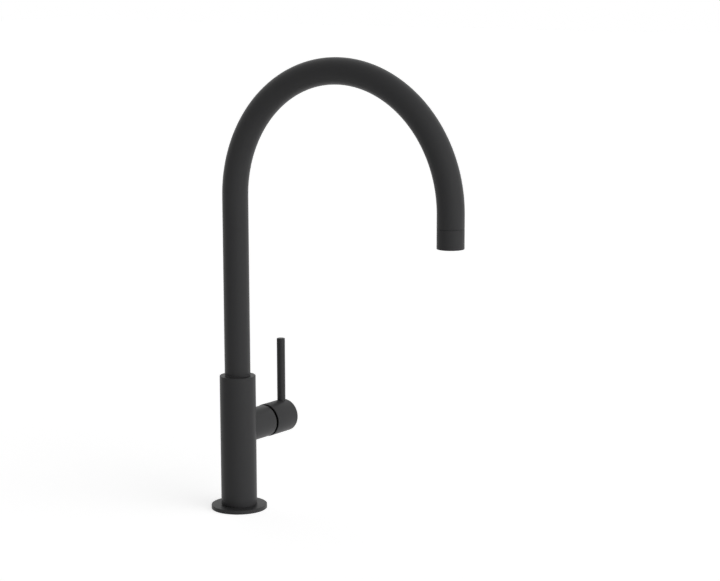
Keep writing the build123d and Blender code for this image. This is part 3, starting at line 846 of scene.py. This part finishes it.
finishPiece(spoutSeals, "blackRubber", "spout", "black_rubber", "spout_seals", crease=40)

print("cutting screws and stud")
grub = {
    "radius": 2.5,
    "edge": 0.3,
    "tipEdge": 0.2,
    "pitch": 0.8,
    "depth": 0.42,
    "flats": 2.5,
    "socket": 2.0,
}


def grubScrew(name, tipRadius, tipLength, start, end):
    # set screw along Z: plain tip at its start, hexagon socket at its end
    tipEnd = start + tipLength
    outline = [
        (0, start, 0),
        (tipRadius, start, grub["tipEdge"]),
        (tipRadius, tipEnd, 0),
        (grub["radius"], tipEnd, grub["edge"]),
        (grub["radius"], end, grub["edge"]),
        (0, end, 0),
    ]
    screw = turned(name, outline, slices=48, thread=grub)
    threaded(screw, grub, tipEnd + grub["edge"], end - grub["edge"])
    return combine(screw, prism("key", grub["flats"], end - grub["socket"], end + past), "DIFFERENCE")


lockSizes = {"tipRadius": 1.8, "tipLength": 1.5, "start": 9.3, "end": 16.5}
lockScrew = moved(grubScrew("lockScrew", **lockSizes), lockLine)
finishPiece(lockScrew, "turnedSteel", "tap_body", "stainless", "spout_lock_screw")
gripSizes = {"tipRadius": 2.2, "tipLength": 0.4, "start": -75.9, "end": -68.9}
gripLine = toGrip @ Matrix.Diagonal((1, -1, -1, 1))  # local Z downwards
gripScrew = moved(grubScrew("gripScrew", **gripSizes), gripLine)
finishPiece(gripScrew, "turnedSteel", "handle", "stainless", "handle_screw")
stud = {"radius": 4.0, "foot": -60.0, "top": 12.5, "edge": 0.6, "pitch": 1.25, "depth": 0.68}
studBar = turned("fixingStud", barOutline(stud), slices=40, thread=stud)
threaded(studBar, stud, stud["foot"] + stud["edge"], stud["top"] - stud["edge"])
finishPiece(moved(studBar, toStud), "turnedSteel", "tap_body", "stainless", "fixing_stud")

print("making the fixing kit")
hexNut = {
    "flats": 13.0,
    "foot": -36.0,
    "top": -26.0,
    "bevel": 0.9,
    "cornerSpare": 0.01,  # the cone stands this far off the hexagon's corners
    "collarRadius": 9.0,
    "collarTop": -24.5,
    "collarSunk": 0.5,  # how far the collar starts inside the hexagon
    "collarFoot": 0.25,
    "collarEdge": 0.15,
    "bore": 4.05,
    "boreFlare": 1.4,
    "boreFlareDepth": 0.4,
}
coneRadius = hexNut["flats"] / math.sqrt(3)
fixingNut = turned(  # the cone that takes off the hexagon's corners
    "fixingNut",
    [
        (0, hexNut["foot"], 0),
        (coneRadius - hexNut["bevel"], hexNut["foot"], 0),
        (coneRadius + hexNut["cornerSpare"], hexNut["foot"] + hexNut["bevel"] / 2, 0),
        (coneRadius + hexNut["cornerSpare"], hexNut["top"], 0),
        (0, hexNut["top"], 0),
    ],
)
hexagon = prism("hexagon", hexNut["flats"], hexNut["foot"] - past, hexNut["top"] + past)
combine(fixingNut, hexagon, "INTERSECT")
collarStart = hexNut["top"] - hexNut["collarSunk"]
nutCollar = turned(
    "nutCollar",
    [
        (0, collarStart, 0),
        (hexNut["flats"] / 2 - hexNut["collarSunk"], collarStart, 0),
        (hexNut["collarRadius"], hexNut["top"], hexNut["collarFoot"]),
        (hexNut["collarRadius"], hexNut["collarTop"], hexNut["collarEdge"]),
        (0, hexNut["collarTop"], 0),
    ],
)
combine(fixingNut, nutCollar, "UNION")
nutBore = turned(
    "nutBore",
    [
        (0, hexNut["foot"] - past, 0),
        (hexNut["bore"] + hexNut["boreFlare"], hexNut["foot"] - past, 0),
        (hexNut["bore"], hexNut["foot"] + hexNut["boreFlareDepth"], 0),
        (hexNut["bore"], hexNut["collarTop"] - hexNut["boreFlareDepth"], 0),
        (hexNut["bore"] + hexNut["boreFlare"], hexNut["collarTop"] + past, 0),
        (0, hexNut["collarTop"] + past, 0),
    ],
    slices=64,
)
combine(fixingNut, nutBore, "DIFFERENCE")
finishPiece(moved(fixingNut, toStud), "turnedBrass", "tap_body", "turned_brass", "fixing_nut")
gasketRing = {"inner": 19.0, "outer": 23.0, "foot": 0, "top": 1.8, "edge": 0.2}
deckGasket = turned("deckGasket", ringOutline(gasketRing), slices=128)
finishPiece(deckGasket, "blackRubber", "tap_body", "black_rubber", "deck_gasket")

print("making the outlet")
insertThread = {"radius": 10.5, "pitch": 1.0, "depth": 0.5}
insert = {
    "bore": 7.5,
    "boreEdge": 0.3,
    "foot": 286.5,
    "footEdge": 0.4,
    "threadTop": 295.0,
    "threadEnd": 294.2,
    "seamRadius": 11.9,
    "seamTop": 295.4,
    "plugRadius": 10.95,
    "plugTop": 305.4,
    "plugEdge": 0.4,
}
outletInsert = turned(
    "outletInsert",
    [
        (insert["bore"], insert["foot"], insert["boreEdge"]),
        (insertThread["radius"], insert["foot"], insert["footEdge"]),
        (insertThread["radius"], insert["threadTop"], 0),
        (insert["seamRadius"], insert["threadTop"], 0),
        (insert["seamRadius"], insert["seamTop"], 0),
        (insert["plugRadius"], insert["seamTop"], 0),
        (insert["plugRadius"], insert["plugTop"], insert["plugEdge"]),
        (insert["bore"], insert["plugTop"], insert["boreEdge"]),
    ],
    thread=insertThread,
)
threaded(outletInsert, insertThread, insert["foot"] + insert["footEdge"], insert["threadEnd"])
finishPiece(moved(outletInsert, toOutlet), "blackCoat", "spout", "black_coat", "outlet_insert")
outletRing = {
    "radius": 12.5,
    "foot": 277.1,
    "footEdge": 0.5,
    "top": 295.0,
    "topEdge": 0.2,
    "lipRadius": 9.3,
    "lipEdge": 0.3,
    "lipTop": 278.4,
    "bore": 10.55,
}
aeratorRing = turned(
    "aeratorRing",
    [
        (outletRing["lipRadius"], outletRing["foot"], outletRing["lipEdge"]),
        (outletRing["radius"], outletRing["foot"], outletRing["footEdge"]),
        (outletRing["radius"], outletRing["top"], outletRing["topEdge"]),
        (outletRing["bore"], outletRing["top"], outletRing["topEdge"]),
        (outletRing["bore"], outletRing["lipTop"], 0),
        (outletRing["lipRadius"], outletRing["lipTop"], 0),
    ],
    slices=128,
)
finishPiece(moved(aeratorRing, toOutlet), "blackCoat", "spout", "black_coat", "aerator_housing")
washer = {"inner": 7.5, "outer": 10.4, "foot": 284.9, "top": 286.5, "edge": 0.25}
outletWasher = turned("outletWasher", ringOutline(washer))
finishPiece(moved(outletWasher, toOutlet), "blackRubber", "spout", "black_rubber", "aerator_gasket")


def makeCellCutter():
    # upright bars on a grid, cut out of the piece the tree is given; Lean moves each row sideways
    group, given, made = newTree(
        "cellCutter",
        [
            ("Pitch", "NodeSocketFloat", 2.4),
            ("Bar Radius", "NodeSocketFloat", 1.1),
            ("Bar Sides", "NodeSocketInt", 6),
            ("Bar Turn", "NodeSocketFloat", 0.0),
            ("Lean", "NodeSocketFloat", 0.5),
            ("Row Step", "NodeSocketFloat", 0.866),
            ("Reach", "NodeSocketFloat", 8.0),
            ("Count", "NodeSocketInt", 9),
            ("Height", "NodeSocketFloat", 281.0),
            ("Length", "NodeSocketFloat", 20.0),
        ],
    )
    size = calc(group, "SUBTRACT", given["Count"], 1.0)
    grid = addNode(
        group,
        "GeometryNodeMeshGrid",
        {"Size X": size, "Size Y": size, "Vertices X": given["Count"], "Vertices Y": given["Count"]},
    )
    place = addNode(group, "GeometryNodeInputPosition")
    parts = addNode(group, "ShaderNodeSeparateXYZ", {0: place.outputs[0]})
    step, row = parts.outputs[:2]
    across = calc(group, "ADD", step, calc(group, "MULTIPLY", row, given["Lean"]))
    x = calc(group, "MULTIPLY", across, given["Pitch"])
    y = calc(group, "MULTIPLY", calc(group, "MULTIPLY", row, given["Row Step"]), given["Pitch"])
    point = addNode(group, "ShaderNodeCombineXYZ", {"X": x, "Y": y, "Z": given["Height"]})
    spread = addNode(
        group,
        "GeometryNodeSetPosition",
        {"Geometry": grid.outputs[0], "Position": point.outputs[0]},
    )
    # the same position field again, which is now read where the points have been moved to
    inside = calc(group, "LESS_THAN", axisDistance(group, step, row), given["Reach"])
    bar = addNode(
        group,
        "GeometryNodeMeshCylinder",
        {"Vertices": given["Bar Sides"], "Radius": given["Bar Radius"], "Depth": given["Length"]},
    )
    turnBar = addNode(group, "ShaderNodeCombineXYZ", {"Z": given["Bar Turn"]})
    bars = addNode(
        group,
        "GeometryNodeInstanceOnPoints",
        {
            "Points": spread.outputs[0],
            "Selection": inside,
            "Instance": bar.outputs["Mesh"],
            "Rotation": turnBar.outputs[0],
        },
    )
    realBars = addNode(group, "GeometryNodeRealizeInstances", {"Geometry": bars.outputs[0]})
    cutOut = addNode(group, "GeometryNodeMeshBoolean", operation="DIFFERENCE", solver="EXACT")
    group.links.new(given["Geometry"], cutOut.inputs["Mesh 1"])
    group.links.new(realBars.outputs[0], cutOut.inputs["Mesh 2"])
    endTree(group, cutOut.outputs[0], given, made)
    return group


cellCutter = makeCellCutter()
honeycomb = {  # six-sided cells, each row half a step over from the last
    "Pitch": 2.4,
    "Bar Radius": 1.9 / math.sqrt(3),  # 1.9 across the flats
    "Bar Sides": 6,
    "Bar Turn": 0.0,
    "Lean": 0.5,
    "Row Step": math.sqrt(3) / 2,
    "Reach": 7.3,
    "Count": 7,
    "Height": 281.0,
    "Length": 20.0,
}
core = {
    "noseRadius": 9.2,
    "noseFoot": 277.5,
    "radius": 10.4,
    "foot": 278.4,
    "top": 284.9,
    "recessRadius": 9.25,
    "recessFoot": 284.1,
    "edge": 0.2,
}
aeratorCore = turned(
    "aeratorCore",
    [
        (0, core["noseFoot"], 0),
        (core["noseRadius"], core["noseFoot"], core["edge"]),
        (core["noseRadius"], core["foot"], 0),
        (core["radius"], core["foot"], 0),
        (core["radius"], core["top"], core["edge"]),
        (core["recessRadius"], core["top"], 0),
        (core["recessRadius"], core["recessFoot"], 0),
        (0, core["recessFoot"], 0),
    ],
)
runNodes(aeratorCore, cellCutter, honeycomb)
finishPiece(moved(aeratorCore, toOutlet), "blackPlasticAndShade", "spout", "dark_plastic", "aerator_core")
perforation = {  # square holes in straight rows
    "Pitch": 1.8,
    "Bar Radius": 1.0 / math.sqrt(2),  # holes 1 mm square
    "Bar Sides": 4,
    "Bar Turn": math.pi / 4,
    "Lean": 0.0,
    "Row Step": 1.0,
    "Reach": 8.0,
    "Count": 11,
    "Height": 284.35,
    "Length": 4.0,
}
screen = {"radius": 9.2, "foot": 284.1, "top": 284.6, "edge": 0.08}
outletScreen = turned("outletScreen", barOutline(screen))
runNodes(outletScreen, cellCutter, perforation)
finishPiece(moved(outletScreen, toOutlet), "rolledSteel", "spout", "stainless", "aerator_screen")

print("making the valve's nut and ring")
dome = {
    "radius": 14.0,
    "start": 37.05,
    "startEdge": 0.1,
    "end": 42.45,
    "edge": 0.8,
    "hollowRadius": 11.5,
    "hollowEnd": 41.05,
    "opening": 9.8,
    "openingEdge": 0.2,
}
domeRing = turned(
    "domeRing",
    [
        (dome["hollowRadius"], dome["start"], dome["startEdge"]),
        (dome["radius"], dome["start"], dome["startEdge"]),
        (dome["radius"], dome["end"], dome["edge"]),
        (dome["opening"], dome["end"], dome["openingEdge"]),
        (dome["opening"], dome["hollowEnd"], 0),
        (dome["hollowRadius"], dome["hollowEnd"], 0),
    ],
    slices=128,
)
# the ring's near-black colour is painted shade inside the handle's groove
finishPiece(moved(domeRing, valveLine), "blackPlasticAndShade", "tap_body", "dark_plastic", "dome_ring")
keyedNut = {
    "radius": 14.0,
    "start": 29.55,
    "end": 37.05,
    "edge": 0.4,
    "bore": 11.3,
    "stock": 3.0,  # left inside the bore, until the hollow and the key are cut
    "keyStart": 34.65,
    "flats": 20.4,
    "pitch": 1.0,
    "depth": 0.5,
}
cartridgeNut = turned(
    "keyedNut",
    [
        (keyedNut["bore"] - keyedNut["stock"], keyedNut["start"], 0),
        (keyedNut["radius"], keyedNut["start"], keyedNut["edge"]),
        (keyedNut["radius"], keyedNut["end"], keyedNut["edge"]),
        (keyedNut["bore"] - keyedNut["stock"], keyedNut["end"], 0),
    ],
    slices=128,
    thread=keyedNut,
)
threaded(cartridgeNut, keyedNut, keyedNut["start"] + keyedNut["edge"], keyedNut["end"] - keyedNut["edge"])
nutHollow = rod("nutHollow", keyedNut["bore"], keyedNut["start"] - past, keyedNut["keyStart"], slices=96)
combine(cartridgeNut, nutHollow, "DIFFERENCE")
nutKey = prism("nutKey", keyedNut["flats"], keyedNut["start"] - past, keyedNut["end"] + past)
combine(cartridgeNut, nutKey, "DIFFERENCE")
finishPiece(moved(cartridgeNut, valveLine), "turnedBrass", "tap_body", "turned_brass", "cartridge_nut")

print("making the handle")
cap = {
    "radius": 16.15,
    "start": 43.5,
    "end": 75.5,
    "farEdge": 1.8,
    "nearEdge": 0.3,
    "cavityRadius": 14.5,
    "cavityEnd": 62.3,
    "cavityEdge": 0.5,
    "mouthBevel": 0.9,
    "bossRadius": 7.0,
    "bossStart": 47.8,
    "bossEdge": 0.4,
    "stemHoleStart": 40,
    "stemHoleEnd": 61.6,
    "stemWidth": 6.1,
    "stemDepth": 7.1,
    "towerRadius": 4.5,
    "towerFoot": 64.075,
    "screwHoleRadius": 2.55,
    "screwHoleFoot": 60,
    "leverX": 68.6,
    "leverHoleRadius": 4.15,
    "leverHoleTop": 100,
    "leverSeat": 83.55,
}
handleCap = turned(
    "handleCap",
    [
        (0, cap["bossStart"], 0),
        (cap["bossRadius"], cap["bossStart"], cap["bossEdge"]),
        (cap["bossRadius"], cap["cavityEnd"], cap["cavityEdge"]),
        (cap["cavityRadius"], cap["cavityEnd"], cap["cavityEdge"]),
        (cap["cavityRadius"], cap["start"] + cap["mouthBevel"], 0),
        (cap["cavityRadius"] + cap["mouthBevel"], cap["start"], 0),
        (cap["radius"], cap["start"], cap["nearEdge"]),
        (cap["radius"], cap["end"], cap["farEdge"]),
        (0, cap["end"], 0),
    ],
    slices=160,
)
moved(handleCap, valveLine)


def box(name, low, high):
    bm = bmesh.new()
    bmesh.ops.create_cube(bm, size=1)
    mesh = bpy.data.meshes.new(name)
    bm.to_mesh(mesh)
    bm.free()
    low, high = Vector(low), Vector(high)
    mesh.transform(Matrix.LocRotScale((low + high) / 2, None, high - low))
    return newPiece(name, mesh)


tower = rod("tower", cap["towerRadius"], cap["towerFoot"], valveHeight, slices=64)
combine(handleCap, moved(tower, toGrip), "UNION")
side, depth = cap["stemWidth"] / 2, cap["stemDepth"] / 2
stemHole = box(
    "stemHole",
    (cap["stemHoleStart"], -side, valveHeight - depth),
    (cap["stemHoleEnd"], side, valveHeight + depth),
)
combine(handleCap, stemHole, "DIFFERENCE")
screwHole = rod("screwHole", cap["screwHoleRadius"], cap["screwHoleFoot"], valveHeight, slices=48)
combine(handleCap, moved(screwHole, toGrip), "DIFFERENCE")
toLever = Matrix.Translation((cap["leverX"], 0, 0))
leverHole = rod("leverHole", cap["leverHoleRadius"], cap["leverSeat"], cap["leverHoleTop"], slices=96)
combine(handleCap, moved(leverHole, toLever), "DIFFERENCE")
finishPiece(handleCap, "blackCoat", "handle", "black_coat", "handle_cap")
lever = {"radius": 4.1, "foot": cap["leverSeat"], "top": 158.5, "edge": 0.45}
leverRod = turned("leverRod", barOutline(lever))
finishPiece(moved(leverRod, toLever), "blackCoat", "handle", "black_coat", "lever_pin")
pivot = {"x": 28.2, "radius": 1.25, "foot": -9.0, "top": 9.0, "edge": 0.2}  # it lies along Y
pivotLine = Matrix(((1, 0, 0, pivot["x"]), (0, 0, 1, 0), (0, -1, 0, valveHeight), (0, 0, 0, 1)))
pivotPin = turned("pivotPin", barOutline(pivot), slices=48)
finishPiece(moved(pivotPin, pivotLine), "turnedSteel", "cartridge_rotor", "stainless", "pivot_pin")

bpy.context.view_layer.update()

print("setting the camera, the floor and the light")
photoCamera = {  # metres, degrees, and millimetres for the lens and its sensor
    "location": (-1.44738, -1.18542, 0.52918),
    "azimuth": -55.09,
    "pitch": 10.06,
    "lens": 97.98,
    "sensor": 36,
    "shiftX": -0.03536,
    "shiftY": 0.02536,
    "nearest": 0.05,
    "farthest": 60,
}
cameraData = bpy.data.cameras.new("photoCamera")
camera = bpy.data.objects.new("photoCamera", cameraData)
bpy.context.scene.collection.objects.link(camera)
bpy.context.scene.camera = camera
turn = math.radians(photoCamera["azimuth"])
tip = math.radians(photoCamera["pitch"])
forward = Vector((-math.sin(turn) * math.cos(tip), math.cos(turn) * math.cos(tip), -math.sin(tip)))
camera.location = photoCamera["location"]
camera.rotation_mode = "QUATERNION"
camera.rotation_quaternion = forward.to_track_quat("-Z", "Y")
cameraData.sensor_width = photoCamera["sensor"]
cameraData.lens = photoCamera["lens"]
cameraData.shift_x = photoCamera["shiftX"]
cameraData.shift_y = photoCamera["shiftY"]
cameraData.clip_start = photoCamera["nearest"]
cameraData.clip_end = photoCamera["farthest"]


def plainRays(tree):
    # 1 for the rays that meet the white background: from the camera, off gloss and through glass
    rays = addNode(tree, "ShaderNodeLightPath")
    plain = rays.outputs["Is Camera Ray"]
    for kind in ("Is Glossy Ray", "Is Transmission Ray"):
        plain = calc(tree, "MAXIMUM", plain, rays.outputs[kind])
    return plain


floorLook = {
    "half": 12.0,  # metres from the middle to each side
    "bounce": 0.95,  # its shade for the light that it throws back on the tap
    "seenShade": 0.6,  # its shade for the camera, which the tap's shadow darkens
    "seenGlow": 0.76,  # what brings that shade up to white
}
half = floorLook["half"]
floorMesh = bpy.data.meshes.new("floor")
corners = [(-half, -half, 0), (half, -half, 0), (half, half, 0), (-half, half, 0)]
floorMesh.from_pydata(corners, [], [(0, 1, 2, 3)])
floor = newPiece("floor", floorMesh)
floorPaint = bpy.data.materials.new("floorPaint")
floorPaint.use_nodes = True
tree = floorPaint.node_tree
tree.nodes.clear()
plain = plainRays(tree)
shade = mixColours(tree, plain, [floorLook["bounce"]] * 3, [floorLook["seenShade"]] * 3)
diffuse = addNode(tree, "ShaderNodeBsdfDiffuse", {"Color": shade})
lift = addNode(tree, "ShaderNodeEmission", {"Strength": calc(tree, "MULTIPLY", plain, floorLook["seenGlow"])})
both = addNode(tree, "ShaderNodeAddShader", {0: diffuse.outputs[0], 1: lift.outputs[0]})
addNode(tree, "ShaderNodeOutputMaterial", {"Surface": both.outputs[0]})
floorMesh.materials.append(floorPaint)

softLamps = {  # wide soft lights: where each comes from, how tightly it is aimed, how bright it is
    "spoutSide": {"from": (0.0, -1.0, 0.0), "focus": 6.0, "level": 5.6},
    "leverSide": {"from": (0.71, -0.71, 0.0), "focus": 6.0, "level": 1.0},
    "front": {"from": (-0.71, -0.71, 0.0), "focus": 6.0, "level": 0.3},
    "above": {"from": (0.0, -0.71, 0.71), "focus": 6.0, "level": 0.3},
    "back": {"from": (0.40, 0.88, 0.26), "focus": 6.0, "level": 1.0},
}
roomGlow = 0.02  # what reaches the tap from everywhere else
white = (1, 1, 1, 1)
world = bpy.data.worlds.new("studio")
bpy.context.scene.world = world
world.use_nodes = True
tree = world.node_tree
tree.nodes.clear()
way = addNode(tree, "ShaderNodeTexCoord")
strength = roomGlow
for lamp in softLamps.values():
    towards = addNode(
        tree,
        "ShaderNodeVectorMath",
        {0: way.outputs["Generated"]},
        {1: Vector(lamp["from"]).normalized()},
        operation="DOT_PRODUCT",
    )
    facing = calc(tree, "MAXIMUM", towards.outputs["Value"], 0.0)
    lobe = calc(tree, "MULTIPLY", calc(tree, "POWER", facing, lamp["focus"]), lamp["level"])
    strength = calc(tree, "ADD", lobe, strength)
light = addNode(tree, "ShaderNodeBackground", {"Strength": strength}, {"Color": white})
seen = addNode(tree, "ShaderNodeBackground", None, {"Color": white, "Strength": 1.0})
mixed = addNode(tree, "ShaderNodeMixShader", {0: plainRays(tree), 1: light.outputs[0], 2: seen.outputs[0]})
addNode(tree, "ShaderNodeOutputWorld", {"Surface": mixed.outputs[0]})
bpy.context.scene.view_settings.view_transform = "Standard"
